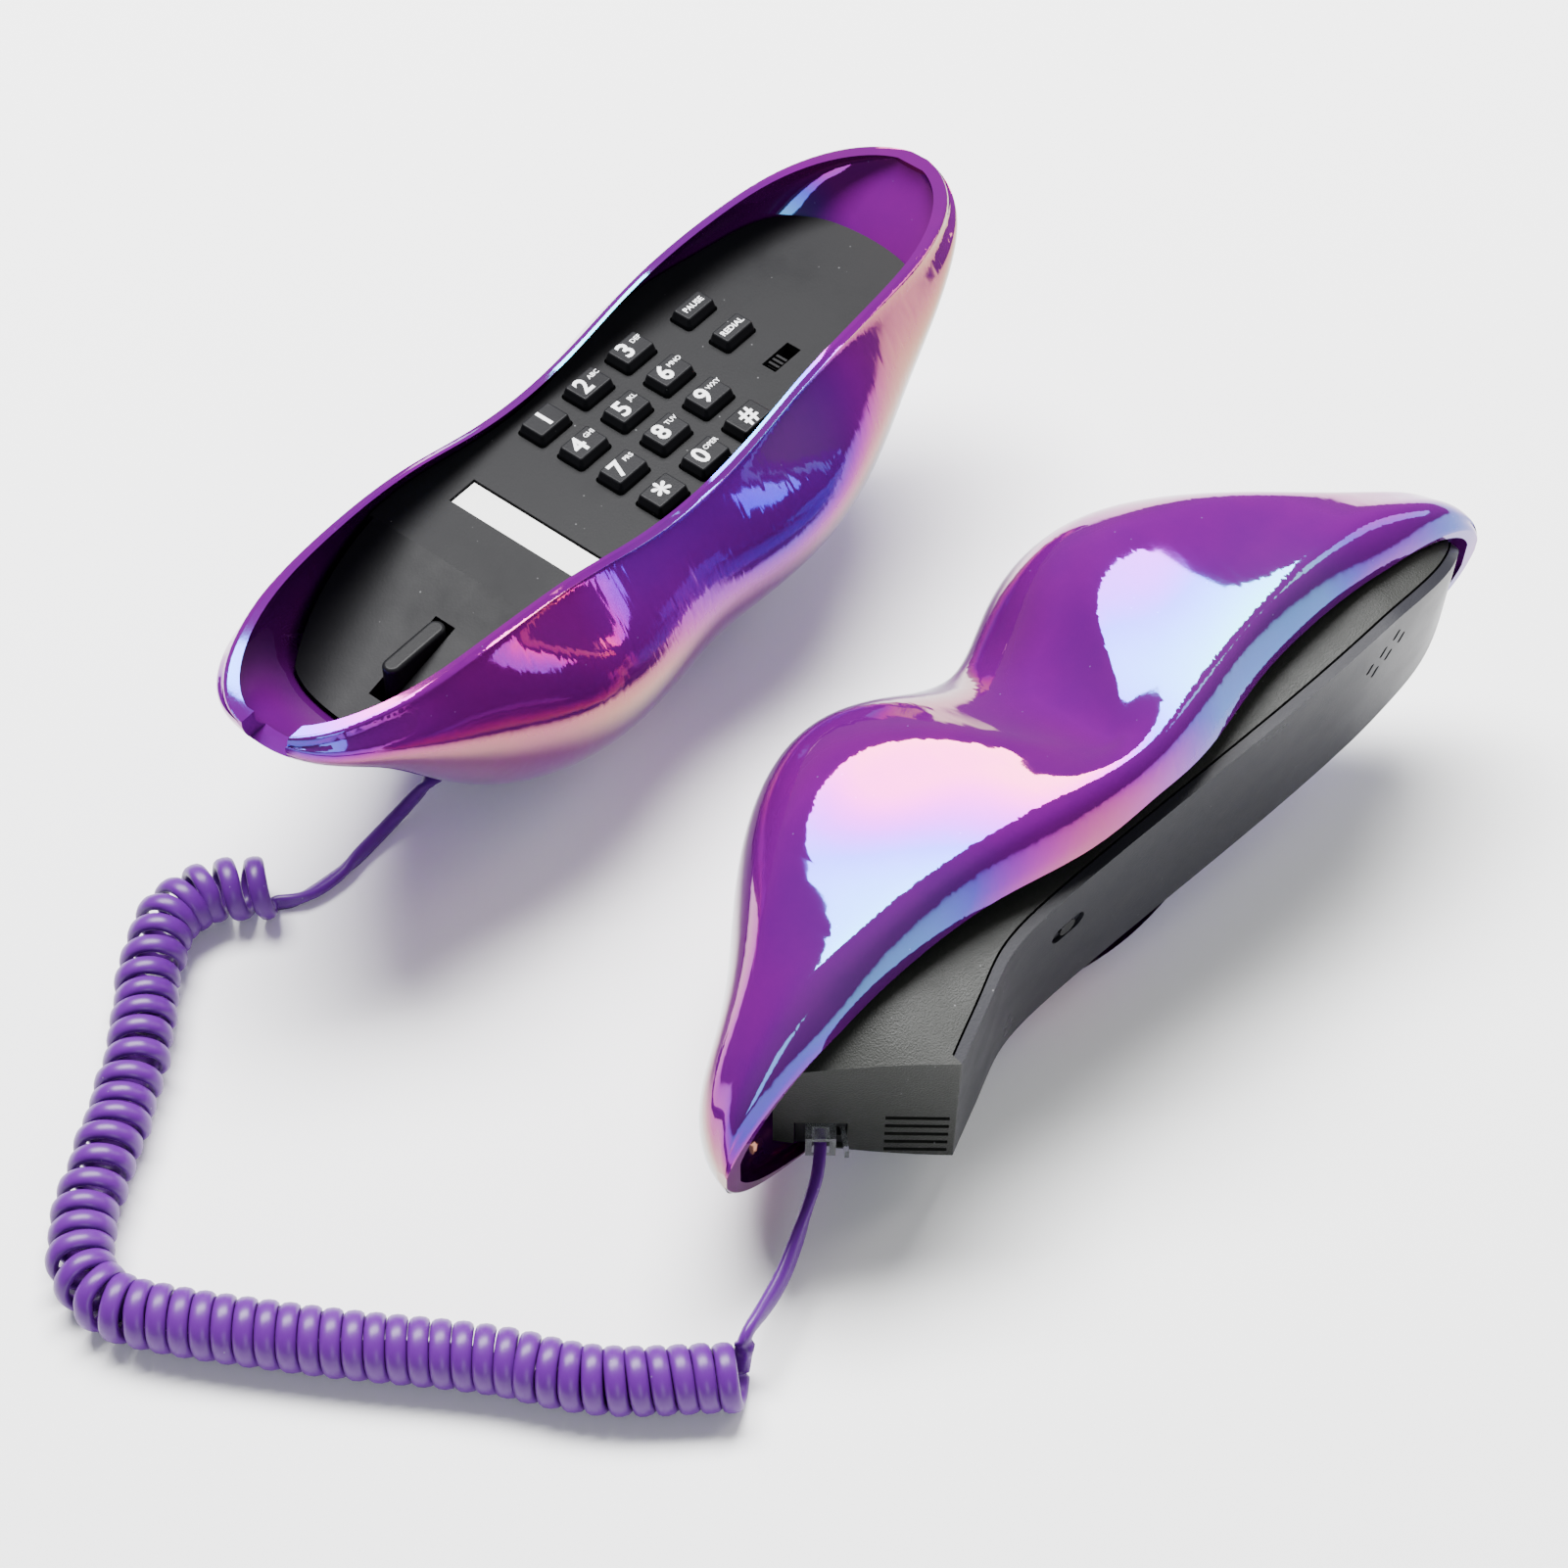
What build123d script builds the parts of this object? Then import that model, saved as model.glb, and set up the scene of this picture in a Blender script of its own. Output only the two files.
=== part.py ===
"""Novelty telephone in two lip-shaped halves, with its handset lifted off and laid beside the base.

The base is the lower lip: a deep glossy tub with a black keypad deck set inside it.
The handset is the upper lip: a shell with a cupid's bow over a black receiver body.
Millimetres, +X along the base towards its earpiece end, +Y to the back, +Z up, table at z = 0.
Each half is drawn centred on its own middle. The handset is drawn as it sits on the closed
telephone, and is then turned onto its back. Everything is shifted at the end, so that the
origin is under the middle of the object.
"""

import math
import os

from build123d import *

# ---------------------------------------------------------------- driving dimensions
LIP_HALF_LENGTH = 107.4
WALL = 2.6
DECK_Z = 56.2            # top face of the keypad deck above the table
RIM_ABOVE_DECK = 8.9     # mean height of the mouth line above the deck
SECTIONS = 19            # sections that each lip is lofted through
OUTER_TIP = 0.06         # angle left out of the cosine spacing at the tips of an outer face
INNER_TIP = 0.15         # and at the ends of a cavity
CAVITY_LIFT = 4.0        # how far a cavity runs out past the rim

# stations along one half of a lip: 0 is the middle, 1 is the tip
STATIONS = [0.0, 0.10, 0.20, 0.32, 0.46, 0.62, 0.78, 0.90, 0.965, 1.0]
RIM_WAVE = [-5.0, -4.2, -2.2, 1.0, 3.0, 3.6, 3.4, 2.8, 2.4, 2.4]
RIM_WIDTH = [25.4, 25.4, 25.3, 25.1, 24.7, 23.8, 21.8, 19.0, 17.6, 16.8]

# lower lip: depth under the rim, and how far the belly stands out past the rim
BELLY_DEPTH = [55.0, 56.2, 58.6, 61.0, 58.0, 45.5, 26.0, 15.5, 13.0, 12.0]
BELLY_BULGE = [9.0, 9.8, 11.6, 12.4, 10.2, 6.0, 3.8, 3.0, 2.6, 2.4]
BELLY_SKEW = 0.12        # the belly is this much deeper, in proportion, at the mouthpiece end

# upper lip: height of the crown and of the cupid's bow ridge over the rim, and half widths
CROWN_RISE = [58.0, 61.3, 62.7, 61.5, 54.5, 41.0, 26.5, 21.0, 19.5, 18.5]
BOW_RISE = [17.5, 27.6, 37.2, 43.5, 40.5, 31.0, 20.0, 16.0, 15.0, 14.0]
BOW_WIDTH = [32.5, 32.5, 32.0, 31.0, 29.0, 26.0, 22.0, 18.2, 16.4, 15.4]
ROLL_BULGE = [12.0, 11.5, 10.6, 10.0, 9.5, 8.0, 5.7, 4.2, 3.6, 3.2]

# keypad deck
DECK_THICK = 2.2
DECK_GAP = 0.9           # gap from the deck's edge to the wall of the tub
KEYPAD_X = 12.6          # middle of the 3 by 4 key grid
KEY_PITCH_X = 14.0
KEY_PITCH_Y = 10.95
KEY_SIZE = (9.6, 7.0)
SMALL_KEY_SIZE = (9.4, 5.6)
SMALL_KEYS_X = 45.3
KEY_RISE = 2.8
KEY_FLANGE = 0.8
KEY_GAP = 0.35
KEY_NAMES = ["1", "2", "3", "4", "5", "6", "7", "8", "9", "star", "0", "hash"]
CREASE_X = -43.4
HOOK_SLOPE = 15.0        # degrees, the hook end of the deck falls away from the crease
DECK_ENDS = (-89.5, 92.6)
CARD_X, CARD_Y = -26.1, -0.2
CARD_SIZE = (7.05, 35.9)
SWITCH_X, SWITCH_Y = 47.0, -9.0
RINGER_X = 68.0
BOARD_TOP = -6.6         # below the deck's top face
BOARD_SIZE = (-19.0, 57.0, 18.0)

BOARD_POSTS = [(-15.0, 0.0), (52.5, -16.0), (52.5, 9.0), (36.2, -14.0)]
BOARD_POST_RADIUS = 2.2
DECK_POSTS = [(-36.0, -19.0), (-36.0, 19.0), (83.0, 0.0)]
DECK_POST_RADIUS = 3.2

# hook lever under the sloping end of the deck, heights from the deck's top face
FIN = (-72.0, -55.0, -1.6)
FIN_Y, FIN_WIDTH = -2.5, 4.2
PIVOT_X, PIVOT_Z = -48.5, -13.7
ARM_Z = (-15.0, -12.6)
BRACKET = (-70.0, -44.5, -24.0)

# bottom cover let into the belly
COVER_HALF = (47.0, 15.0)
COVER_Z = (1.4, 10.0)
JACK_FACE_X = 47.5

# handset body in the closed position, z = 0 is the mean mouth line
BODY_TOP = 8.0
BODY_WALL = 2.0
FACE_THICK = 2.2
FACE_GROOVE = 0.5
MOUTH_TIP = (-64.5, -16.5)
MOUTH_TOP = (-90.0, 8.0)
FACE_LINE = [(-64.3, -16.5), (-50.5, -10.4), (-42.0, -6.8), (-31.0, -5.2), (-18.0, -5.0),
             (78.0, -5.0), (87.0, -3.8), (95.0, -0.8), (101.0, 4.0), (104.0, 9.0)]
EAR_END = [(62.0, 20.2), (75.0, 19.0), (85.0, 16.8), (94.0, 12.6), (99.5, 6.8), (101.0, 0.0)]
MOUTH_SIDE = [(-64.0, 20.2), (-74.0, 19.2), (-82.0, 17.2), (-91.0, 13.8)]
RECEIVER_X = 65.0
EAR_SLOTS = [(72.0, -11.0), (68.3, -8.6), (64.6, -6.2)]
FACE_SCREWS = [(-23.0, -6.0), (46.5, 2.0)]
SHELL_POSTS_X = (-35.0, 35.0)
VENTS_Y = (3.5, 7.0, 10.5, 14.0, 17.5)
JACK_UP, JACK_Y = 26.0, 11.6   # on the slanting mouth end: up from its tip, and towards the back

# placing of the handset beside the base: it lies on its back
HANDSET_YAW = -8.0
HANDSET_PITCH = -5.8
HANDSET_ROLL = -83.4
HANDSET_AT = (-4.6, -140.4)
HANDSET_CLEAR = 0.1      # lowest point of the handset above the table

# handset cord
CORD_TUBE = 3.0
COIL_DIAMETER = 13.4

OBJECT_MIDDLE = (-1.5, -60.1)   # middle of base and handset together, which becomes the origin

PARTS = {}


def keep(name, shape):
    """Hold a finished solid, or a group of separate solids, under its node name."""
    PARTS[name] = shape


def box(x0, x1, y0, y1, z0, z1):
    """A block between two corners."""
    centre = ((x0 + x1) / 2, (y0 + y1) / 2, (z0 + z1) / 2)
    return Pos(*centre) * Box(x1 - x0, y1 - y0, z1 - z0)


def cylinder(x, y, z0, z1, radius):
    """An upright round bar between two heights."""
    return Pos(x, y, (z0 + z1) / 2) * Cylinder(radius, z1 - z0)


def cross_bar(x, y0, y1, z, radius):
    """A round bar along Y."""
    return Pos(x, (y0 + y1) / 2, z) * Rot(90, 0, 0) * Cylinder(radius, y1 - y0)


def side_prism(outline, half_width):
    """A closed outline in X and Z, extruded to both sides of the middle."""
    face = Plane.XZ * make_face(outline)
    return extrude(face, half_width, both=True)


# ---------------------------------------------------------------- lip sections
def cubic_slopes(xs, ys):
    """Slopes of the natural cubic spline through the points, by the tridiagonal rule."""
    count = len(xs)
    low, mid, high, right = ([0.0] * count for _ in range(4))
    mid[0] = mid[-1] = 2.0
    high[0] = low[-1] = 1.0
    right[0] = 3 * (ys[1] - ys[0]) / (xs[1] - xs[0])
    right[-1] = 3 * (ys[-1] - ys[-2]) / (xs[-1] - xs[-2])
    for i in range(1, count - 1):
        before, after = xs[i] - xs[i - 1], xs[i + 1] - xs[i]
        low[i], mid[i], high[i] = after, 2 * (before + after), before
        rise = after * (ys[i] - ys[i - 1]) / before + before * (ys[i + 1] - ys[i]) / after
        right[i] = 3 * rise
    for i in range(1, count):
        factor = low[i] / mid[i - 1]
        mid[i] -= factor * high[i - 1]
        right[i] -= factor * right[i - 1]
    slopes = [0.0] * count
    slopes[-1] = right[-1] / mid[-1]
    for i in range(count - 2, -1, -1):
        slopes[i] = (right[i] - high[i] * slopes[i + 1]) / mid[i]
    return slopes


def along(values, u):
    """A dimension of the lip at u, from its values at STATIONS, alike on both sides of the middle."""
    xs = [-s for s in STATIONS[3:0:-1]] + STATIONS
    ys = values[3:0:-1] + values
    slopes = cubic_slopes(xs, ys)
    a = abs(u)
    i = max(k for k in range(len(xs) - 1) if xs[k] <= a)
    step = xs[i + 1] - xs[i]
    t = (a - xs[i]) / step
    first = (2 * t**3 - 3 * t**2 + 1) * ys[i] + (t**3 - 2 * t**2 + t) * step * slopes[i]
    return first + (3 * t**2 - 2 * t**3) * ys[i + 1] + (t**3 - t**2) * step * slopes[i + 1]


def rounding(u):
    """Closes a lip to a round tip: 1 along most of its length, and 0 at the tip."""
    return math.sqrt(max(1 - abs(u) ** 12, 0.0))


def belly_points(u):
    """Half section of the lower lip at u, from the rim down to the keel, z from the mouth line."""
    rim = along(RIM_WAVE, u)
    width = along(RIM_WIDTH, u) * rounding(u)
    depth = along(BELLY_DEPTH, u) * rounding(u) * (1 - BELLY_SKEW * u)
    bulge = along(BELLY_BULGE, u) * rounding(u)
    edge = min(1.7, 0.3 * width)
    return [
        (width - edge, rim),
        (width - 0.27 * edge, rim - 0.27 * edge),
        (width, rim - edge),
        (width + bulge * 0.70, rim - depth * 0.24),
        (width + bulge, rim - depth * 0.46),
        (width * 0.87 + bulge * 0.72, rim - depth * 0.74),
        (width * 0.47 + bulge * 0.20, rim - depth * 0.955),
        (0, rim - depth),
    ]


def bow_points(u):
    """Half section of the upper lip at u, from the rim up to the crown, z from the mouth line."""
    rim = along(RIM_WAVE, u)
    width = along(RIM_WIDTH, u) * rounding(u)
    rise = along(CROWN_RISE, u) * rounding(u)
    bow = along(BOW_RISE, u) * rounding(u)
    bow_width = along(BOW_WIDTH, u) * rounding(u)
    bulge = along(ROLL_BULGE, u) * rounding(u)
    widest = width + bulge
    roll = min(9.0, bow * 0.42)
    edge = min(1.5, 0.3 * width)
    middle = 0.52 * widest + 0.48 * bow_width
    return [
        (width - edge, rim),
        (width - 0.27 * edge, rim + 0.27 * edge),
        (width + bulge * 0.22, rim + edge * 0.8),
        (width + bulge * 0.74, rim + roll * 0.45),
        (widest, rim + roll),
        (middle, rim + (roll + bow) / 2),
        (bow_width + 0.06 * (widest - bow_width), rim + bow * 0.95),
        (bow_width * 0.93, rim + bow + (rise - bow) * 0.14),
        (bow_width * 0.78, rim + bow + (rise - bow) * 0.47),
        (bow_width * 0.52, rim + bow + (rise - bow) * 0.78),
        (bow_width * 0.25, rim + bow + (rise - bow) * 0.95),
        (0, rim + rise),
    ]


def inset(points, depth, side):
    """The half section of a cavity, depth in from a lip; side is 1 for the lower lip, -1 for the upper."""
    rim_width, rim = points[2][0], points[0][1]
    widest = max(y for y, _ in points)
    tall = abs(points[-1][1] - rim)
    narrow, flat = (widest - depth) / widest, (tall - depth) / tall
    inner = max(rim_width - depth, 0.4 * rim_width)
    moved = [(y * narrow, rim + (z - rim) * flat) for y, z in points[3:]]
    return [(inner, rim + side * CAVITY_LIFT), (inner, rim)] + moved


def spline_parameters(points):
    """Parameters along a section, in step with its chords and alike on both sides."""
    total, steps = 0.0, [0.0]
    for (y0, z0), (y1, z1) in zip(points, points[1:]):
        total += math.hypot(y1 - y0, z1 - z0)
        steps.append(total)
    half = [s / total / 2 for s in steps]
    return half + [1 - h for h in reversed(half[:-1])]


def section_wire(points, x, parameters):
    """A closed section across the lip: a spline from rim to rim, closed straight at the mouth line."""
    whole = [(-y, z) for y, z in points] + [(y, z) for y, z in reversed(points[:-1])]
    curve = Edge.make_spline([Vector(x, y, z) for y, z in whole], parameters=parameters)
    lid = Edge.make_line(curve @ 1, curve @ 0)
    return Wire([curve, lid])


def lip_solid(point_rule, half_length, tip_angle):
    """Loft one smooth solid through the sections of a lip."""
    parameters = spline_parameters(point_rule(0.9))
    sections = []
    for k in range(SECTIONS):
        u = -math.cos(tip_angle + k / (SECTIONS - 1) * (math.pi - 2 * tip_angle))
        sections.append(section_wire(point_rule(u), u * half_length, parameters))
    return Solid.make_loft(sections)


def belly_cavity(depth):
    """The space inside the lower lip, depth in from its outer face, open upwards."""
    return lip_solid(lambda u: inset(belly_points(u), depth, 1), LIP_HALF_LENGTH - depth, INNER_TIP)


def bow_cavity(depth):
    """The space inside the upper lip, depth in from its outer face, open downwards."""
    return lip_solid(lambda u: inset(bow_points(u), depth, -1), LIP_HALF_LENGTH - depth, INNER_TIP)


def on_mouth_line(shape):
    """Lift a shape drawn about the mouth line to its height on the base."""
    return Pos(0, 0, DECK_Z + RIM_ABOVE_DECK) * shape


def on_deck(shape):
    """Lift a shape drawn with its zero on the deck's top face to its height on the base."""
    return Pos(0, 0, DECK_Z) * shape


# ---------------------------------------------------------------- base
def cover_pad(grow, z0, z1):
    """The rounded block of the bottom cover, grown all round by a little."""
    half_x, half_y = COVER_HALF[0] + grow, COVER_HALF[1] + grow
    return Pos(0, 0, z0) * extrude(RectangleRounded(2 * half_x, 2 * half_y, half_y - 1), z1 - z0)


def make_base_shell():
    """The lower lip tub: posts for the deck, an opening underneath and a notch at the mouthpiece end."""
    cavity = belly_cavity(WALL)
    shell = on_mouth_line(lip_solid(belly_points, LIP_HALF_LENGTH, OUTER_TIP) - cavity)
    for x, y in DECK_POSTS:
        post = cylinder(x, y, -DECK_Z, -DECK_THICK, DECK_POST_RADIUS)
        post -= cylinder(x, y, -9, -DECK_THICK, 1.3)
        shell += on_deck(post) & on_mouth_line(cavity)
    shell -= cover_pad(0.15, -1, COVER_Z[1] + 0.15)
    for side in (-1, 1):
        ends = sorted((side * (JACK_FACE_X + 1.2), side * 30))
        shell -= box(ends[0], ends[1], -8.2, 8.2, -1, 15.4)
        ends = sorted((side * (JACK_FACE_X + 16), side * 30))
        shell -= box(ends[0], ends[1], -4.6, 4.6, -1, 12.6)
    rim_z = DECK_Z + RIM_ABOVE_DECK
    notch = box(-LIP_HALF_LENGTH - 5, -LIP_HALF_LENGTH + 9, -8.5, 1.5, rim_z - 3.6, rim_z + 9)
    keep("base_lip_shell", shell - notch)


def deck_outline():
    """Plan of the deck: straight sides that the tub trims, with a rounded end at each side."""
    left, right = DECK_ENDS
    ear = Pos(right - 24, 0) * Ellipse(24, 29)
    hook = Pos(left + 46, 0) * Ellipse(46, 27)
    middle = Pos((right + left + 22) / 2, 0) * Rectangle(right - left - 70, 60)
    return middle + ear + hook


def deck_slab(top, bottom):
    """The bent slab of the deck between two depths under its top face."""
    left, right = DECK_ENDS[0] - 2, DECK_ENDS[1] + 2
    fall = math.tan(math.radians(HOOK_SLOPE)) * (CREASE_X - left)
    outline = Polyline(
        (left, top - fall), (CREASE_X, top), (right, top),
        (right, bottom), (CREASE_X, bottom), (left, bottom - fall), close=True)
    return side_prism(outline, 35)


def key_places():
    """Name, place and size of each key on the deck."""
    places = []
    for i, name in enumerate(KEY_NAMES):
        x = KEYPAD_X + (i % 3 - 1) * KEY_PITCH_X
        y = (1.5 - i // 3) * KEY_PITCH_Y
        places.append(("key_" + name, x, y, KEY_SIZE))
    places.append(("key_pause", SMALL_KEYS_X, 14.4, SMALL_KEY_SIZE))
    places.append(("key_redial", SMALL_KEYS_X, 3.4, SMALL_KEY_SIZE))
    return places


def make_deck():
    """Black deck plate: key holes, card recess, switch window, hook slot and posts for the board."""
    cavity = on_mouth_line(belly_cavity(WALL + DECK_GAP))
    plan = Pos(0, 0, -40) * extrude(deck_outline(), 60)
    deck = on_deck(deck_slab(0, -DECK_THICK) & plan) & cavity
    for _, x, y, size in key_places():
        hole = RectangleRounded(size[0] + 2 * KEY_GAP, size[1] + 2 * KEY_GAP, 1.1)
        deck -= on_deck(Pos(x, y, -5) * extrude(hole, 8))
    recess = Rectangle(CARD_SIZE[0] + 0.8, CARD_SIZE[1] + 0.8)
    deck -= on_deck(Pos(CARD_X, CARD_Y, -0.9) * extrude(recess, 2))
    deck -= on_deck(box(SWITCH_X - 4.4, SWITCH_X + 4.4, SWITCH_Y - 1.9, SWITCH_Y + 1.9, -5, 2))
    deck -= on_deck(box(FIN[0] - 2.8, FIN[1] + 1.0, FIN_Y - 2.7, FIN_Y + 2.7, -16, 2))
    for x, y in BOARD_POSTS:
        post = cylinder(x, y, BOARD_TOP, -DECK_THICK, BOARD_POST_RADIUS)
        deck += on_deck(post - cylinder(x, y, BOARD_TOP, -DECK_THICK, 0.9))
    for x, y in DECK_POSTS:
        deck += on_deck(cylinder(x, y, -8, -DECK_THICK + 0.2, 1.2))
    keep("keypad_deck", deck)


def key_cap(size):
    """A tapered key with a flange under the deck."""
    flange = RectangleRounded(size[0] + 1.6, size[1] + 1.6, 1.2)
    body = RectangleRounded(size[0], size[1], 1.0)
    foot = -DECK_THICK - 0.2
    cap = Pos(0, 0, foot - KEY_FLANGE) * extrude(flange, KEY_FLANGE)
    cap += Pos(0, 0, foot) * extrude(body, 0.8 - foot)
    top = Pos(0, 0, 0.8) * extrude(body, KEY_RISE - 0.8, taper=16)
    top = fillet(top.faces().sort_by(Axis.Z)[-1].edges(), 0.45)
    return cap + top


def make_keys():
    """Twelve dialling keys and the two function keys, each a part of its own."""
    caps = {size: key_cap(size) for size in (KEY_SIZE, SMALL_KEY_SIZE)}
    for name, x, y, size in key_places():
        keep(name, on_deck(Pos(x, y, 0) * caps[size]))


def make_keypad_electronics():
    """Rubber contact mat, circuit board with its parts, screws and the dialling-mode switch."""
    mat_top = -DECK_THICK - 0.2 - KEY_FLANGE - 1.5
    mat = box(-9, 53, -21, 21, mat_top - 0.9, mat_top)
    for x, y in BOARD_POSTS:
        mat -= cylinder(x, y, mat_top - 2, mat_top + 2, BOARD_POST_RADIUS + 0.4)
    mat -= box(SWITCH_X - 6.2, SWITCH_X + 8, SWITCH_Y - 4, SWITCH_Y + 4, -9, 0)
    for _, x, y, _ in key_places():
        mat += cylinder(x, y, mat_top, mat_top + 0.15, 2.1)
    keep("keypad_mat", on_deck(mat))
    x0, x1, half = BOARD_SIZE
    board = box(x0, x1, -half, half, BOARD_TOP - 1.6, BOARD_TOP)
    board -= box(SWITCH_X - 3.5, SWITCH_X + 3.5, SWITCH_Y - 0.8, SWITCH_Y + 0.8, -12, 0)
    for x, y in BOARD_POSTS:
        board -= cylinder(x, y, -12, 0, 1.2)
    keep("main_board", on_deck(board))
    under = BOARD_TOP - 1.6
    chips = [box(4, 20, -5, 4, under - 2.2, under), box(30, 40, 6, 14, under - 3.0, under)]
    chips += [cylinder(-8 + 7 * i, 12, under - 7, under, 2.5) for i in range(3)]
    keep("board_components", on_deck(Compound(children=chips)))
    screws = []
    for x, y in BOARD_POSTS:
        shank = cylinder(x, y, BOARD_TOP - 1.6, -DECK_THICK - 0.6, 0.9)
        screws.append(on_deck(shank + cylinder(x, y, under - 1.4, under, 2.0)))
    keep("board_screws", Compound(children=screws))
    frame = box(SWITCH_X - 5.6, SWITCH_X + 5.6, SWITCH_Y - 3, SWITCH_Y + 3, BOARD_TOP, -3.4)
    frame -= box(SWITCH_X - 4.2, SWITCH_X + 4.2, SWITCH_Y - 1.6, SWITCH_Y + 1.6, -5.8, -3)
    keep("mode_switch_body", on_deck(frame))
    knob = box(SWITCH_X - 3.0, SWITCH_X + 0.6, SWITCH_Y - 1.4, SWITCH_Y + 1.4, -5.4, -1.1)
    for i in range(3):
        ridge_x = SWITCH_X - 2.5 + 1.3 * i
        knob += box(ridge_x - 0.3, ridge_x + 0.3, SWITCH_Y - 1.4, SWITCH_Y + 1.4, -1.1, -0.3)
    keep("mode_switch_knob", on_deck(knob))
    card = Rectangle(*CARD_SIZE)
    keep("memo_card", on_deck(Pos(CARD_X, CARD_Y, -0.9) * extrude(card, 0.4)))
    ringer = cylinder(RINGER_X, 0, -8.4, -DECK_THICK, 9.5) - cylinder(RINGER_X, 0, -9, -7.4, 3)
    keep("ringer", on_deck(ringer))


def make_hook():
    """Hook lever whose fin stands through the deck, with its bracket, pin, spring and switch."""
    x0, x1, top = FIN
    half = FIN_WIDTH / 2
    fin = Pos((x0 + x1) / 2, FIN_Y, ARM_Z[0]) * extrude(SlotOverall(x1 - x0, FIN_WIDTH), top - ARM_Z[0])
    fin = fillet(fin.faces().sort_by(Axis.Z)[-1].edges(), 0.9)
    lever = fin + box(x0 + 2, PIVOT_X, FIN_Y - half, FIN_Y + half, *ARM_Z)
    lever += cross_bar(PIVOT_X, FIN_Y - half, FIN_Y + half, PIVOT_Z, 3.0)
    lever -= cross_bar(PIVOT_X, FIN_Y - 5, FIN_Y + 5, PIVOT_Z, 1.25)
    keep("hook_lever", on_deck(lever))
    bx0, bx1, floor = BRACKET
    slope_top = deck_slab(-DECK_THICK - 0.05, -60)
    bracket = box(bx0, bx1, FIN_Y - 5.4, FIN_Y + 5.4, floor, -2)
    bracket -= box(bx0 - 1, bx1 + 1, FIN_Y - 3.6, FIN_Y + 3.6, floor + 1.6, 2)
    bracket = bracket & slope_top
    bracket -= cross_bar(PIVOT_X, FIN_Y - 8, FIN_Y + 8, PIVOT_Z, 1.25)
    keep("hook_bracket", on_deck(bracket))
    keep("hook_pin", on_deck(cross_bar(PIVOT_X, FIN_Y - 6.2, FIN_Y + 6.2, PIVOT_Z, 1.2)))
    spring_floor = floor + 1.6
    coil = Helix(1.45, ARM_Z[0] - spring_floor - 0.9, 2.1)
    wire = sweep(Plane(coil @ 0, z_dir=coil % 0) * Circle(0.35), path=coil, is_frenet=True)
    keep("hook_spring", on_deck(Pos(-59.0, FIN_Y, spring_floor + 0.45) * wire))
    switch = box(-69.6, -62.4, FIN_Y - 3.2, FIN_Y + 3.2, spring_floor, -18.9)
    switch += box(-67.0, -65.0, FIN_Y - 1, FIN_Y + 1, -18.9, -18.3)
    keep("hook_switch", on_deck(switch))


def rj_jack(size, opening, depth):
    """A jack block with its mouth in the -X face, the face at x = 0."""
    length, width, height = size
    jack = box(0, length, -width / 2, width / 2, -height / 2, height / 2)
    jack -= box(-1, depth, -opening[0] / 2, opening[0] / 2, -opening[1] / 2, opening[1] / 2)
    return jack - box(-1, depth, -1.9, 1.9, -opening[1] / 2 - 2.3, 0)


PLUG_WIDTH, PLUG_HEIGHT, PLUG_LENGTH = 7.6, 6.0, 12.0


def cord_plug():
    """Clear four-way plug, its tail end at x = 0 and its nose towards +X, latch underneath."""
    body = box(0, PLUG_LENGTH, -PLUG_WIDTH / 2, PLUG_WIDTH / 2, -PLUG_HEIGHT / 2, PLUG_HEIGHT / 2)
    body -= box(-1, 3.0, -2.4, 2.4, -1.7, 1.7)
    for i in range(4):
        y = -1.53 + 1.02 * i
        body -= box(PLUG_LENGTH - 3.2, PLUG_LENGTH + 1, y - 0.3, y + 0.3, 1.9, 4)
    latch = Polyline((PLUG_LENGTH - 1.5, -PLUG_HEIGHT / 2 + 0.2),
                     (PLUG_LENGTH - 1.5, -PLUG_HEIGHT / 2 - 0.7),
                     (-1.5, -PLUG_HEIGHT / 2 - 2.6), (-1.5, -PLUG_HEIGHT / 2 - 1.7), close=True)
    return body + side_prism(latch, 1.5)


def make_base_underside():
    """Bottom cover with its two jack housings, the jacks, the weight, screws and rubber feet."""
    z0, z1 = COVER_Z
    cover = cover_pad(0, z0, z1) - cover_pad(-2.0, z0 + 2.2, z1 + 1)
    for half_turn in (0, 180):
        cover += Rot(0, 0, half_turn) * box(JACK_FACE_X - 16, JACK_FACE_X + 0.6, -7.8, 7.8, z0, 15.0)
        cover -= Rot(0, 0, half_turn) * box(JACK_FACE_X - 14, JACK_FACE_X + 2, -6.4, 6.4, z0 + 0.8, 14.2)
    bosses = [(-24.0, -9.0), (-24.0, 9.0), (24.0, -9.0), (24.0, 9.0)]
    for x, y in bosses:
        cover += cylinder(x, y, z0, z1 + 8, 2.8)
        cover -= cylinder(x, y, z0 - 1, z0 + 1.2, 2.4)
        cover -= cylinder(x, y, z0 - 1, z1 + 9, 1.1)
    keep("bottom_cover", cover)
    screws = [cylinder(x, y, z0, z0 + 1.2, 2.2) + cylinder(x, y, z0 + 1.2, z1 + 7, 1.0) for x, y in bosses]
    keep("bottom_screws", Compound(children=screws))
    middle = (z0 + 1.4 + 13.6) / 2
    jack = rj_jack((13.2, 12.6, 12.0), (PLUG_WIDTH + 0.2, PLUG_HEIGHT + 0.2), 9.6)
    keep("base_cord_jack", Pos(-JACK_FACE_X, 0, middle) * jack)
    line = rj_jack((13.2, 12.6, 12.0), (9.8, 6.8), 10.5)
    keep("line_jack", Pos(JACK_FACE_X, 0, middle) * Rot(0, 0, 180) * line)
    keep("base_cord_plug", Pos(-JACK_FACE_X - PLUG_LENGTH + 9.4, 0, middle) * cord_plug())
    keep("ballast_plate", box(-18, 18, -10.5, 10.5, z0 + 2.3, z0 + 6.3))
    feet = [Pos(x, y, 0) * extrude(Circle(4.2), z0) for x in (-37, 37) for y in (-8.5, 8.5)]
    keep("rubber_feet", Compound(children=feet))


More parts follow.
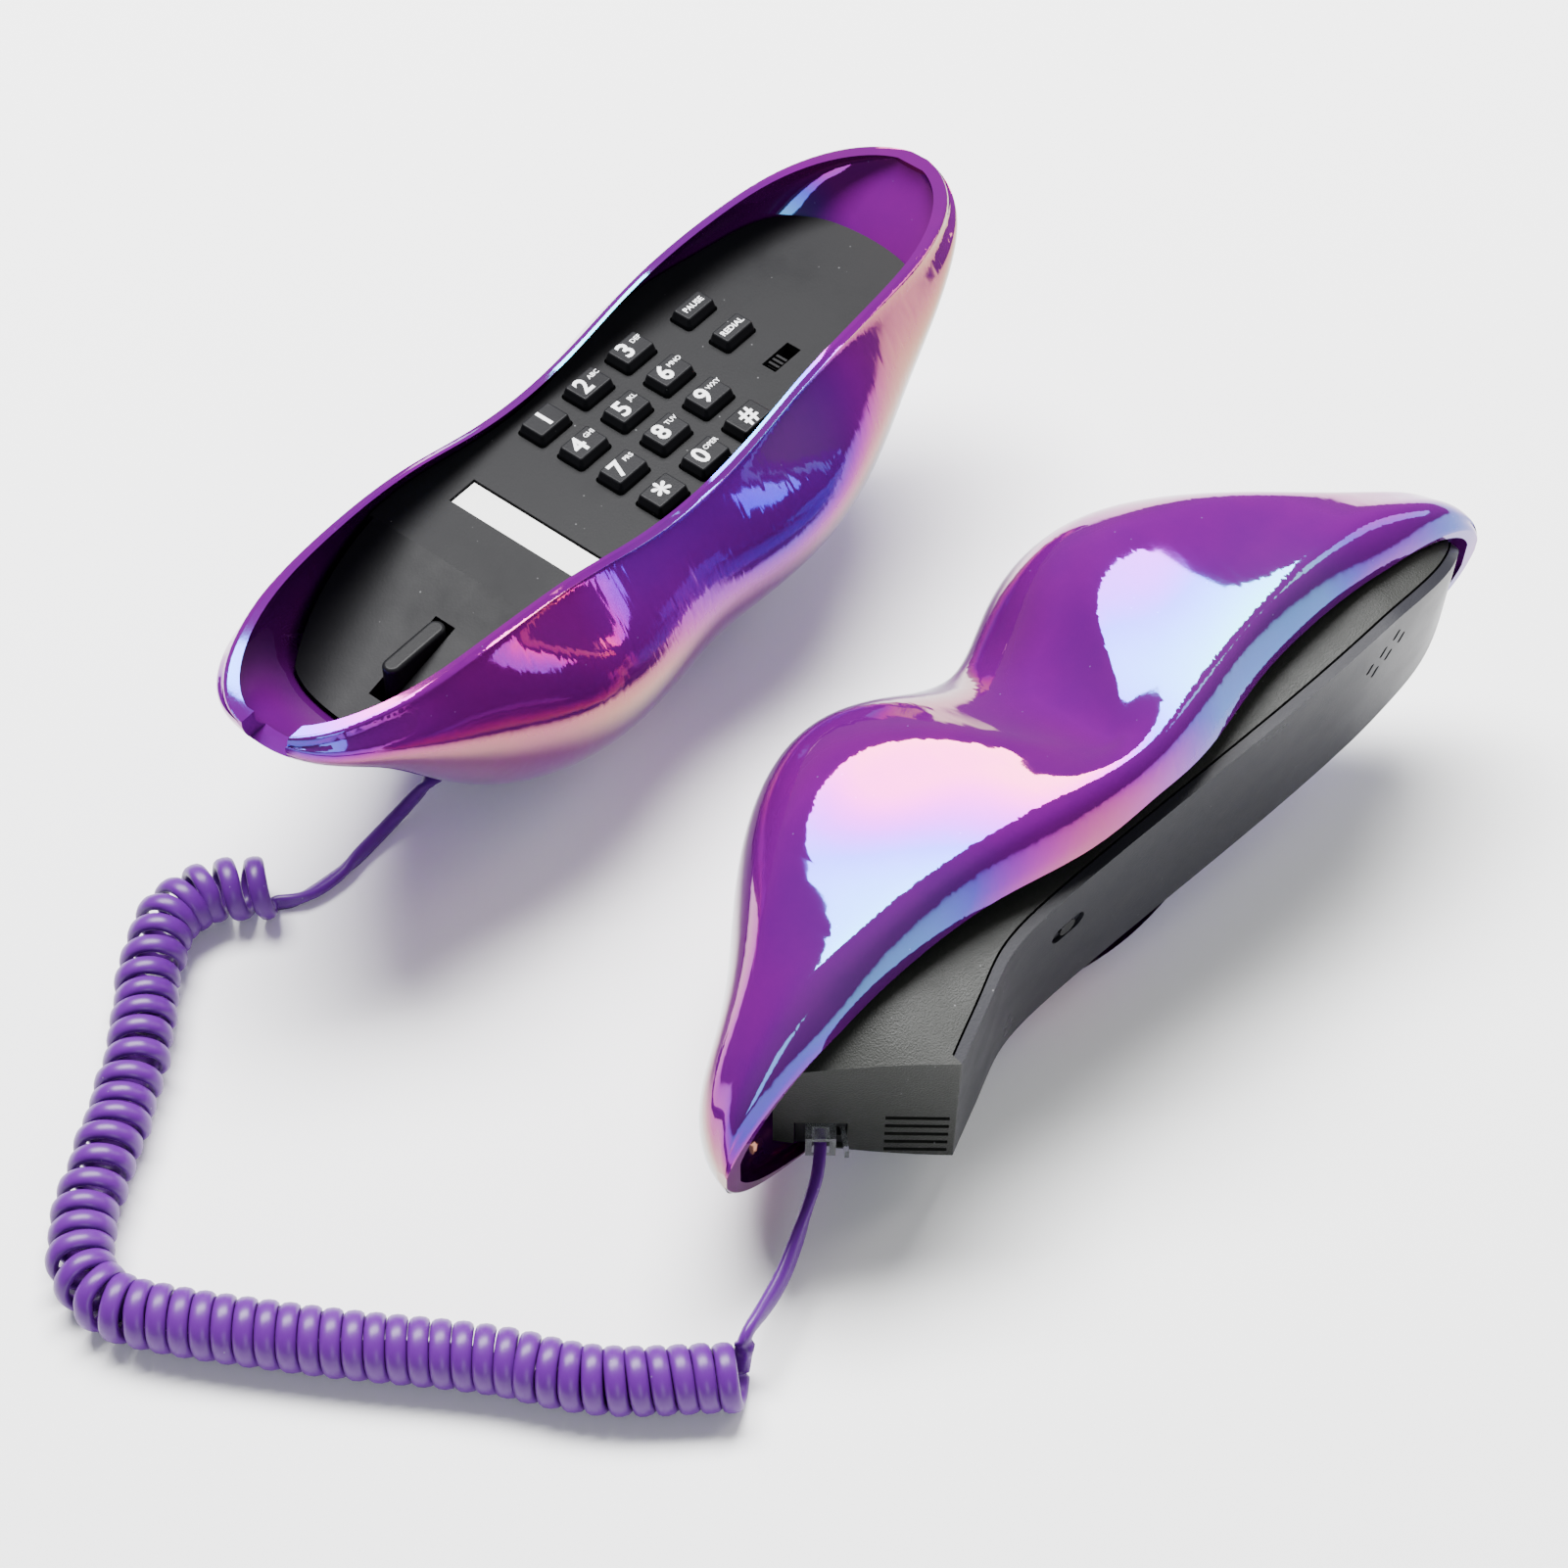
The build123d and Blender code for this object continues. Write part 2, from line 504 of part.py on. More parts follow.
# ---------------------------------------------------------------- handset, closed position
def body_plan(inset_depth):
    """Plan of the receiver body, rounded at the earpiece end and tapered at the mouth end."""
    ear = [(x - inset_depth * (y < 15), max(y - inset_depth, 0)) for x, y in EAR_END]
    mouth = [(x, y - inset_depth) for x, y in MOUTH_SIDE]
    ear_curve = Spline(*(ear + [(x, -y) for x, y in reversed(ear[:-1])]), tangents=[(1, 0), (-1, 0)])
    near = Spline(*mouth, tangents=[(-1, 0), (-0.9, -0.43)])
    far = Spline(*[(x, -y) for x, y in mouth], tangents=[(-1, 0), (-0.9, 0.43)])
    edges = [ear_curve, near, far]
    edges += [Line(near @ 0, ear_curve @ 0), Line(far @ 0, ear_curve @ 1), Line(near @ 1, far @ 1)]
    return make_face(Curve() + edges)


def mouth_direction():
    """Unit vectors along the slanting mouth end, up from its tip, and square to it into the body."""
    run, rise = MOUTH_TOP[0] - MOUTH_TIP[0], MOUTH_TOP[1] - MOUTH_TIP[1]
    length = math.hypot(run, rise)
    return (run / length, rise / length), (rise / length, -run / length)


def inside_mouth_end(wall):
    """Everything on the inner side of the slanting mouth end, the end moved in by wall."""
    up, inward = mouth_direction()
    low = (MOUTH_TIP[0] + inward[0] * wall, MOUTH_TIP[1] + inward[1] * wall)
    bottom = (low[0] - up[0] * 20, low[1] - up[1] * 20)
    top = (low[0] + up[0] * 60, low[1] + up[1] * 60)
    return side_prism(Polyline(bottom, (150, bottom[1]), (150, top[1]), top, close=True), 30)


def face_layer(depth):
    """Everything more than depth above the face line, from the mouth tip to the earpiece end."""
    line = Spline(*[(x, z + depth) for x, z in FACE_LINE], tangents=[(0.9, 0.42), (0.6, 0.8)])
    start, end = line @ 0, line @ 1
    left, right = (start.X, 30), (end.X, 30)
    return side_prism(Curve() + [line, Line(end, right), Line(right, left), Line(left, start)], 30)


def mouth_frame(up_distance, y):
    """Place on the slanting mouth end: +X into the body, +Z up the slope from the tip."""
    up, inward = mouth_direction()
    origin = (MOUTH_TIP[0] + up[0] * up_distance, y, MOUTH_TIP[1] + up[1] * up_distance)
    return Plane(origin=origin, x_dir=(inward[0], 0, inward[1]), z_dir=(up[0], 0, up[1])).location


def make_body_parts():
    """The hollow receiver body with its slanting mouth end, and the face cover that closes it."""
    plan = extrude(Pos(0, 0, -25) * body_plan(0), BODY_TOP + 25)
    mouth_block = box(-120, MOUTH_TIP[0] + 0.2, -30, 30, MOUTH_TIP[1], 30)
    block = (face_layer(0) + mouth_block) & inside_mouth_end(0) & plan
    inner_plan = extrude(Pos(0, 0, -30) * body_plan(BODY_WALL), BODY_TOP + 28)
    hollow = (face_layer(-1) + mouth_block) & inside_mouth_end(2.4) & inner_plan
    body = block & (face_layer(FACE_THICK + FACE_GROOVE) + mouth_block)
    body -= hollow
    face = (block - mouth_block) - face_layer(FACE_THICK)
    for y in VENTS_Y:
        slot = Pos(0, 0, 7.4) * Box(7, 1.4, 12.4)
        body -= mouth_frame(0, y) * slot
    for x in SHELL_POSTS_X:
        body -= cylinder(x, 0, 4, 9, 1.5)
    for x, y in FACE_SCREWS:
        body += cylinder(x, y, -2.2, 6.2, 3.0) - cylinder(x, y, -3, 5, 1.2)
    return body, face


def make_handset():
    """The upper lip shell and the black receiver body with all it holds, as they sit when closed."""
    outer = lip_solid(bow_points, LIP_HALF_LENGTH, OUTER_TIP)
    cavity = bow_cavity(WALL)
    shell = outer - cavity
    for x in SHELL_POSTS_X:
        shell += (cylinder(x, 0, BODY_TOP, 70, 3.4) - cylinder(x, 0, BODY_TOP - 1, 20, 1.1)) & cavity
    body, face = make_body_parts()
    jack_place = mouth_frame(JACK_UP, JACK_Y)
    body -= jack_place * box(-2, 13.4, -5.4, 5.4, -5.2, 5.2)
    for x, y in FACE_SCREWS:
        face -= Pos(x, y, -6) * extrude(SlotOverall(9.0, 5.0), 1.9)
        face -= cylinder(x, y, -6, 0, 1.3)
    for x, y in EAR_SLOTS:
        for pair in (-1.1, 1.1):
            slot = Rot(0, 0, -57) * SlotOverall(3.0, 1.1)
            face -= Pos(x + pair, y + pair * 1.5, -8) * extrude(slot, 8)
    parts = {"handset_lip_shell": shell, "handset_body": body, "handset_face": face}
    low = -5 + FACE_THICK
    ring = cylinder(RECEIVER_X, 0, low, low + 1.0, 13.0) - cylinder(RECEIVER_X, 0, low - 1, low + 2, 11.4)
    parts["receiver_gasket"] = ring
    receiver = cylinder(RECEIVER_X, 0, low + 1.0, low + 4.6, 13.0)
    parts["receiver"] = receiver + cylinder(RECEIVER_X, 0, low + 4.6, low + 8.0, 8.0)
    capsule = Rot(0, 90, 0) * Cylinder(4.6, 4.4)
    parts["microphone"] = mouth_frame(10.5, 8.0) * (Pos(5.0, 0, 0) * capsule)
    jack = rj_jack((11.5, 10.4, 10.0), (PLUG_WIDTH + 0.2, PLUG_HEIGHT + 0.2), 8.6)
    parts["handset_cord_jack"] = jack_place * (Pos(1.0, 0, 0) * jack)
    parts["handset_cord_plug"] = jack_place * (Pos(9.4 - PLUG_LENGTH, 0, 0) * cord_plug())
    screws = [cylinder(x, y, -4.9, -4.1, 2.1) + cylinder(x, y, -4.1, 4.6, 1.1) for x, y in FACE_SCREWS]
    parts["face_screws"] = Compound(children=screws)
    long_screws = [cylinder(x, 0, 4.6, 6.0, 2.4) + cylinder(x, 0, 6.0, 18.0, 1.0) for x in SHELL_POSTS_X]
    parts["shell_screws"] = Compound(children=long_screws)
    parts["handset_weight"] = box(-14, 26, -11, 11, 0.5, 4.4)
    return parts


def place_handset():
    """Turn the handset onto its back and set it down on the table in front of the base."""
    yaw, pitch, roll = Rot(0, 0, HANDSET_YAW), Rot(0, HANDSET_PITCH, 0), Rot(HANDSET_ROLL, 0, 0)
    turn = yaw * pitch * roll
    parts = {name: turn * shape for name, shape in make_handset().items()}
    lowest = min(shape.bounding_box(optimal=True).min.Z for shape in parts.values())
    lay_down = Pos(*HANDSET_AT, HANDSET_CLEAR - lowest)
    for name, shape in parts.items():
        keep(name, lay_down * shape)
    tail = lay_down * turn * mouth_frame(JACK_UP, JACK_Y) * Pos(9.4 - PLUG_LENGTH + 3.0, 0, 0)
    print("handset cord plug: recess floor at", tail.position, "axis", tail.x_axis.direction)


# ---------------------------------------------------------------- handset cord
# routes of the cord's middle line beside the base, before the last shift
LEAD_ROUTE = [(-47.1, 0.0, 8.2), (-55.0, 0.3, 7.4), (-63.0, 0.9, 5.0), (-71.0, 1.5, 2.4),
              (-79.5, 1.3, 1.55), (-88.0, 0.7, 1.5), (-95.0, 1.4, 1.5), (-100.0, 3.1, 1.5),
              (-103.0, 6.5, 1.5)]
COIL_SIDE_ROUTE = [(-103.0, 6.5), (-109.2, 13.6), (-116.5, 17.8), (-124.8, 16.8), (-136.5, 9.3),
                   (-147.5, -0.5), (-161.8, -9.4), (-173.3, -15.6), (-184.5, -21.7), (-192.6, -28.5),
                   (-196.0, -36.5), (-194.2, -44.5), (-191.2, -50.3)]
COIL_FRONT_ROUTE = [(-191.2, -50.3), (-187.6, -57.2), (-182.4, -66.1), (-173.7, -80.9), (-164.4, -95.1),
                    (-156.8, -107.4), (-152.9, -116.9), (-147.9, -125.5), (-140.8, -133.8),
                    (-134.6, -140.4), (-130.4, -145.6)]
TAIL_ROUTE = [(-131.9, -144.3, 11.2), (-125.6, -140.6, 11.4), (-118.2, -139.4, 10.3), (-110.6, -137.6, 10.0),
              (-103.6, -135.2, 11.6), (-96.9, -132.7, 14.3), (-90.6, -130.6, 16.8), (-84.8, -126.0, 17.95)]


def route_radii(points):
    """Radius of the arc at each inner point: 0.45 of the shorter run over the tangent of half the turn."""
    radii = []
    for before, here, after in zip(points, points[1:], points[2:]):
        first, second = Vector(*here) - Vector(*before), Vector(*after) - Vector(*here)
        half_turn = math.radians(first.get_angle(second)) / 2
        radii.append(0.45 * min(first.length, second.length) / math.tan(half_turn))
    return radii


def cord_tube(name, points, diameter):
    """A plain tube along straight runs and tangent arcs."""
    radii = route_radii(points)
    path = FilletPolyline(*points, radius=radii)
    start = Plane(origin=path @ 0, z_dir=path % 0)
    tube = sweep(start * Circle(diameter / 2), path=path)
    ratio = tube.volume / (math.pi * diameter**2 / 4 * path.length)
    print(name, "length", round(path.length, 1), "volume ratio", round(ratio, 4))
    print(name, "arc radii", [round(radius) for radius in radii])
    keep(name, tube)


def make_cord():
    """The straight lead from the base, the coiled cord as two fat tubes, and the straight tail."""
    coil_z = COIL_DIAMETER / 2 + 0.05
    cord_tube("cord_lead", LEAD_ROUTE, CORD_TUBE)
    cord_tube("cord_coil_side", [(x, y, coil_z) for x, y in COIL_SIDE_ROUTE], COIL_DIAMETER)
    cord_tube("cord_coil_front", [(x, y, coil_z) for x, y in COIL_FRONT_ROUTE], COIL_DIAMETER)
    cord_tube("cord_tail", TAIL_ROUTE, CORD_TUBE)


if __name__ == "__main__":
    os.makedirs("parts", exist_ok=True)
    make_base_shell()
    make_deck()
    make_keys()
    make_keypad_electronics()
    make_hook()
    make_base_underside()
    place_handset()
    make_cord()
    boxes = [shape.bounding_box() for name, shape in PARTS.items() if not name.startswith("cord_")]
    low = [min(b.min.X for b in boxes), min(b.min.Y for b in boxes), min(b.min.Z for b in boxes)]
    high = [max(b.max.X for b in boxes), max(b.max.Y for b in boxes), max(b.max.Z for b in boxes)]
    print("object from", low, "to", high)
    for name, shape in PARTS.items():
        export_step(Pos(-OBJECT_MIDDLE[0], -OBJECT_MIDDLE[1], 0) * shape, f"parts/{name}.step")
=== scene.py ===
"""Looks of the novelty lip-shaped telephone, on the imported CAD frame.

Everything is in metres in the frame's own axes: +X along the base towards its earpiece end,
+Y to the back of the base, +Z up, and the table at z = 0.
"""
import math

import bpy
from mathutils import Matrix, Vector


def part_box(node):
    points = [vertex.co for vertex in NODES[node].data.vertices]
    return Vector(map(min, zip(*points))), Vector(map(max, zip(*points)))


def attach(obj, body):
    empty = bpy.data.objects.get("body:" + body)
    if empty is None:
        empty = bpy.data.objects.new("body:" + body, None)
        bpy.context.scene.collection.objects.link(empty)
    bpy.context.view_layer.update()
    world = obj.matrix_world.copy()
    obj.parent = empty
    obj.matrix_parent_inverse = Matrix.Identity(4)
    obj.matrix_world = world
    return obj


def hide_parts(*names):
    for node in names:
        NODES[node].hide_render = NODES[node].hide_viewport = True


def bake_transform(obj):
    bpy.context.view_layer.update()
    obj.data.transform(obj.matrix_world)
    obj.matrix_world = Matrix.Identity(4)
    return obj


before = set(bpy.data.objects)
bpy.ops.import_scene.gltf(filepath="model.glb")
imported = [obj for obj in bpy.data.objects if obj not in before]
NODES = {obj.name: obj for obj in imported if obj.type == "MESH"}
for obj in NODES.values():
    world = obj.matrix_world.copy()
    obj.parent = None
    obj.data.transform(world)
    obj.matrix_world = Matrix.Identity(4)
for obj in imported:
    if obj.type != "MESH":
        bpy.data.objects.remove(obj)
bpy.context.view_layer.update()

# the base is drawn about its own middle, which lies here in the frame
BASE_MIDDLE = Vector((0.0015, 0.0601, 0.0))


# ---------------------------------------------------------------- camera
def place_camera():
    """A long lens to the front left of the base, looking down steeply."""
    lens_data = bpy.data.cameras.new("camera")
    lens_data.lens = 85.45
    lens_data.sensor_width = 36.0
    lens_data.clip_start = 0.05
    lens_data.clip_end = 10.0
    camera = bpy.data.objects.new("camera", lens_data)
    bpy.context.scene.collection.objects.link(camera)
    camera.location = Vector((-0.40407, -0.37621, 0.62286)) + BASE_MIDDLE
    forward = Vector((0.4906, 0.3986, -0.7749))
    camera.rotation_euler = forward.to_track_quat("-Z", "Y").to_euler()
    bpy.context.scene.camera = camera


place_camera()

# ---------------------------------------------------------------- handset cord
# the route of the cord's middle line about the base, in metres
LEAD_ROUTE = [(-0.0471, 0.0, 0.0082), (-0.0550, 0.0003, 0.0074), (-0.0630, 0.0009, 0.0050),
              (-0.0710, 0.0015, 0.0024), (-0.0795, 0.0013, 0.00155), (-0.0880, 0.0007, 0.0015),
              (-0.0950, 0.0014, 0.0015), (-0.1000, 0.0031, 0.0015), (-0.1030, 0.0065, 0.0015)]
COIL_ROUTE = [(-0.1030, 0.0065), (-0.1092, 0.0136), (-0.1165, 0.0178), (-0.1248, 0.0168), (-0.1365, 0.0093),
              (-0.1475, -0.0005), (-0.1618, -0.0094), (-0.1733, -0.0156), (-0.1845, -0.0217),
              (-0.1926, -0.0285), (-0.1960, -0.0365), (-0.1942, -0.0445), (-0.1912, -0.0503),
              (-0.1876, -0.0572), (-0.1824, -0.0661), (-0.1737, -0.0809), (-0.1644, -0.0951),
              (-0.1568, -0.1074), (-0.1529, -0.1169), (-0.1479, -0.1255), (-0.1408, -0.1338),
              (-0.1346, -0.1404), (-0.1304, -0.1456)]
TAIL_ROUTE = [(-0.1319, -0.1443, 0.0112), (-0.1256, -0.1406, 0.0114), (-0.1182, -0.1394, 0.0103),
              (-0.1106, -0.1376, 0.0100), (-0.1036, -0.1352, 0.0116), (-0.0969, -0.1327, 0.0143),
              (-0.0906, -0.1306, 0.0168), (-0.0848, -0.1260, 0.01795)]
CORD_WIDTH = 0.0041
CORD_THICKNESS = 0.0025
COIL_DIAMETER = 0.0134
POINTS_PER_TURN = 16
TIGHT_PITCH = 0.0042
# turns before the corner stand further apart, by a little more here and less there
LOOSE_PITCH_EXTRA = 0.0010
LOOSE_PITCH_RIPPLE = 0.0006
LOOSE_SWAY = 0.00025
# shares of the coil's length: where its turns begin to close up, and over how much of it they do
CLOSING_START = 0.42
CLOSING_SPAN = 0.14
# a faint pull that keeps the flat cord level where its route is straight
LEVEL_PULL = 4e-7
SMOOTHING_REACH = 14
TABLE_CLEARANCE = 0.0001


def nurbs_curve(name, points):
    """A smooth open curve with the points as its control points, passing through its two ends."""
    data = bpy.data.curves.new(name, "CURVE")
    data.dimensions = "3D"
    data.resolution_u = 4
    spline = data.splines.new("NURBS")
    spline.points.add(len(points) - 1)
    for control, point in zip(spline.points, points):
        control.co = (*point, 1.0)
    spline.order_u = 3
    spline.use_endpoint_u = True
    curve = bpy.data.objects.new(name, data)
    bpy.context.scene.collection.objects.link(curve)
    return curve


def curve_points(curve):
    """The points along a curve's own line, in order."""
    bpy.context.view_layer.update()
    line = bpy.data.meshes.new_from_object(curve)
    points = [vertex.co.copy() for vertex in line.vertices]
    bpy.data.meshes.remove(line)
    return points


def coil_turns():
    """Control points of the coil: wide turns at first, and tight turns after the corner."""
    centres = [Vector((x, y, COIL_DIAMETER / 2)) + BASE_MIDDLE for x, y in COIL_ROUTE]
    axis_curve = nurbs_curve("coil_axis", centres)
    axis = curve_points(axis_curve)
    bpy.data.objects.remove(axis_curve)
    radius = (COIL_DIAMETER - CORD_THICKNESS) / 2 / math.cos(math.pi / POINTS_PER_TURN)
    lengths = [(b - a).length for a, b in zip(axis, axis[1:])]
    total = sum(lengths)
    turns = []
    travelled = 0.0
    angle = 0.0
    i = 0
    start_of_run = 0.0
    while travelled < total - 0.001:
        while travelled > start_of_run + lengths[i]:
            start_of_run += lengths[i]
            i += 1
        share = (travelled - start_of_run) / lengths[i]
        here = axis[i].lerp(axis[i + 1], share)
        along = (axis[i + 1] - axis[i]).normalized()
        side = Vector((-along.y, along.x, 0.0))
        part = travelled / total
        loose = 1.0 - min(max((part - CLOSING_START) / CLOSING_SPAN, 0.0), 1.0)
        ripple = LOOSE_PITCH_RIPPLE * math.sin(part * 57.0)
        pitch = TIGHT_PITCH + loose * (LOOSE_PITCH_EXTRA + ripple)
        sway = LOOSE_SWAY * math.sin(angle * 0.37) * loose
        offset = side * (math.sin(angle) * radius + sway) - Vector((0, 0, math.cos(angle) * radius))
        turns.append(here + offset)
        angle += 2 * math.pi / POINTS_PER_TURN
        travelled += pitch / POINTS_PER_TURN
    return turns


def width_directions(path):
    """Which way the flat cord's width lies at each point: along the coil's axis, or level where straight."""
    reach = 3
    raw = []
    for i, here in enumerate(path):
        before, after = path[max(i - reach, 0)], path[min(i + reach, len(path) - 1)]
        turning = (here - before).cross(after - here)
        along = after - before
        level = Vector((-along.y, along.x, 0.0)).normalized()
        raw.append(turning + level * LEVEL_PULL)
    smooth = []
    for i in range(len(path)):
        near = raw[max(i - SMOOTHING_REACH, 0):i + SMOOTHING_REACH + 1]
        smooth.append(sum(near, Vector()).normalized())
    return smooth


def flat_tube(name, path, width, thickness, sides=12):
    """A closed mesh tube of oval section along the path."""
    widths = width_directions(path)
    vertices, faces = [], []
    for i, here in enumerate(path):
        along = (path[min(i + 1, len(path) - 1)] - path[max(i - 1, 0)]).normalized()
        across = (widths[i] - along * widths[i].dot(along)).normalized()
        outwards = along.cross(across)
        for k in range(sides):
            turn = 2 * math.pi * k / sides
            wide = math.copysign(abs(math.cos(turn)) ** 0.8, math.cos(turn))
            corner = here + across * (wide * width / 2) + outwards * (math.sin(turn) * thickness / 2)
            corner.z = max(corner.z, TABLE_CLEARANCE)
            vertices.append(corner)
    for i in range(len(path) - 1):
        for k in range(sides):
            n = (k + 1) % sides
            faces.append((i * sides + k, i * sides + n, (i + 1) * sides + n, (i + 1) * sides + k))
    faces.append(tuple(range(sides - 1, -1, -1)))
    last = (len(path) - 1) * sides
    faces.append(tuple(range(last, last + sides)))
    mesh = bpy.data.meshes.new(name)
    mesh.from_pydata(vertices, [], faces)
    mesh.shade_smooth()
    piece = bpy.data.objects.new(name, mesh)
    bpy.context.scene.collection.objects.link(piece)
    return piece


def make_cord():
    """One flat cord from the base's plug through the coil to the handset's plug."""
    lead = [Vector(point) + BASE_MIDDLE for point in LEAD_ROUTE[:-1]]
    tail = [Vector(point) + BASE_MIDDLE for point in TAIL_ROUTE[1:]]
    route = nurbs_curve("cord_route", lead + coil_turns() + tail)
    path = curve_points(route)
    bpy.data.objects.remove(route)
    cord = flat_tube("handset_cord", path, CORD_WIDTH, CORD_THICKNESS)
    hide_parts("cord_lead", "cord_coil_side", "cord_coil_front", "cord_tail")
    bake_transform(cord)
    return cord


cord_object = make_cord()


# ---------------------------------------------------------------- shared surface effects
def fine_wear_group():
    """Group: soft unevenness of gloss, fine specks, and a normal with grain and slight waviness."""
    group = bpy.data.node_groups.new("fine_wear", "ShaderNodeTree")
    for name, kind, value in (("Scale", "NodeSocketFloat", 400.0), ("Grain", "NodeSocketFloat", 0.1),
                              ("Waviness", "NodeSocketFloat", 0.05)):
        socket = group.interface.new_socket(name, in_out="INPUT", socket_type=kind)
        socket.default_value = value
    group.interface.new_socket("Smudge", in_out="OUTPUT", socket_type="NodeSocketFloat")
    group.interface.new_socket("Speck", in_out="OUTPUT", socket_type="NodeSocketFloat")
    group.interface.new_socket("Normal", in_out="OUTPUT", socket_type="NodeSocketVector")
    nodes, links = group.nodes, group.links
    inputs, outputs = nodes.new("NodeGroupInput"), nodes.new("NodeGroupOutput")
    coordinates = nodes.new("ShaderNodeTexCoord")
    smudge = nodes.new("ShaderNodeTexNoise")
    smudge.inputs["Scale"].default_value = 38.0
    smudge.inputs["Detail"].default_value = 6.0
    smudge.inputs["Roughness"].default_value = 0.62
    links.new(coordinates.outputs["Object"], smudge.inputs["Vector"])
    links.new(smudge.outputs["Fac"], outputs.inputs["Smudge"])
    specks = nodes.new("ShaderNodeTexVoronoi")
    specks.inputs["Scale"].default_value = 420.0
    links.new(coordinates.outputs["Object"], specks.inputs["Vector"])
    dots = nodes.new("ShaderNodeMapRange")
    dots.inputs["From Min"].default_value = 0.10
    dots.inputs["From Max"].default_value = 0.04
    links.new(specks.outputs["Distance"], dots.inputs["Value"])
    rare = nodes.new("ShaderNodeMath")
    rare.operation = "GREATER_THAN"
    rare.inputs[1].default_value = 0.86
    separate = nodes.new("ShaderNodeSeparateColor")
    links.new(specks.outputs["Color"], separate.inputs["Color"])
    links.new(separate.outputs["Red"], rare.inputs[0])
    chosen = nodes.new("ShaderNodeMath")
    chosen.operation = "MULTIPLY"
    links.new(dots.outputs["Result"], chosen.inputs[0])
    links.new(rare.outputs["Value"], chosen.inputs[1])
    links.new(chosen.outputs["Value"], outputs.inputs["Speck"])
    grain = nodes.new("ShaderNodeTexNoise")
    grain.inputs["Detail"].default_value = 3.0
    links.new(coordinates.outputs["Object"], grain.inputs["Vector"])
    links.new(inputs.outputs["Scale"], grain.inputs["Scale"])
    wave = nodes.new("ShaderNodeTexNoise")
    wave.inputs["Scale"].default_value = 22.0
    wave.inputs["Detail"].default_value = 1.0
    links.new(coordinates.outputs["Object"], wave.inputs["Vector"])
    slow = nodes.new("ShaderNodeBump")
    slow.inputs["Distance"].default_value = 0.0006
    links.new(inputs.outputs["Waviness"], slow.inputs["Strength"])
    links.new(wave.outputs["Fac"], slow.inputs["Height"])
    quick = nodes.new("ShaderNodeBump")
    quick.inputs["Distance"].default_value = 0.0002
    links.new(inputs.outputs["Grain"], quick.inputs["Strength"])
    links.new(grain.outputs["Fac"], quick.inputs["Height"])
    links.new(slow.outputs["Normal"], quick.inputs["Normal"])
    links.new(quick.outputs["Normal"], outputs.inputs["Normal"])
    return group


FINE_WEAR = fine_wear_group()


SATIN_REFLECTION = 0.18
DULL_REFLECTION = 0.08
GREY_SPECK = (0.35, 0.35, 0.36)


def surface(name, colour, second_colour, roughness, scale, grain, waviness, speck_colour=GREY_SPECK):
    """A material whose colour and gloss vary softly, with grain; gives back it and its shader node."""
    material = bpy.data.materials.new(name)
    material.use_nodes = True
    nodes, links = material.node_tree.nodes, material.node_tree.links
    shader = nodes["Principled BSDF"]
    shader.inputs["Specular IOR Level"].default_value = SATIN_REFLECTION
    wear = nodes.new("ShaderNodeGroup")
    wear.node_tree = FINE_WEAR
    wear.inputs["Scale"].default_value = scale
    wear.inputs["Grain"].default_value = grain
    wear.inputs["Waviness"].default_value = waviness
    tint = nodes.new("ShaderNodeMix")
    tint.data_type = "RGBA"
    tint.inputs["A"].default_value = (*colour, 1.0)
    tint.inputs["B"].default_value = (*second_colour, 1.0)
    links.new(wear.outputs["Smudge"], tint.inputs["Factor"])
    specked = nodes.new("ShaderNodeMix")
    specked.data_type = "RGBA"
    specked.inputs["B"].default_value = (*speck_colour, 1.0)
    faint = nodes.new("ShaderNodeMath")
    faint.operation = "MULTIPLY"
    faint.inputs[1].default_value = 0.35
    links.new(wear.outputs["Speck"], faint.inputs[0])
    links.new(faint.outputs["Value"], specked.inputs["Factor"])
    links.new(tint.outputs["Result"], specked.inputs["A"])
    links.new(specked.outputs["Result"], shader.inputs["Base Color"])
    gloss = nodes.new("ShaderNodeMapRange")
    gloss.inputs["From Min"].default_value = 0.3
    gloss.inputs["From Max"].default_value = 0.7
    gloss.inputs["To Min"].default_value = roughness * 0.8
    gloss.inputs["To Max"].default_value = roughness * 1.25
    links.new(wear.outputs["Smudge"], gloss.inputs["Value"])
    links.new(gloss.outputs["Result"], shader.inputs["Roughness"])
    links.new(wear.outputs["Normal"], shader.inputs["Normal"])
    return material, shader


def paint(material, *names):
    """Give CAD nodes a material in every slot."""
    for name in names:
        mesh = NODES[name].data
        mesh.materials.clear()
        mesh.materials.append(material)


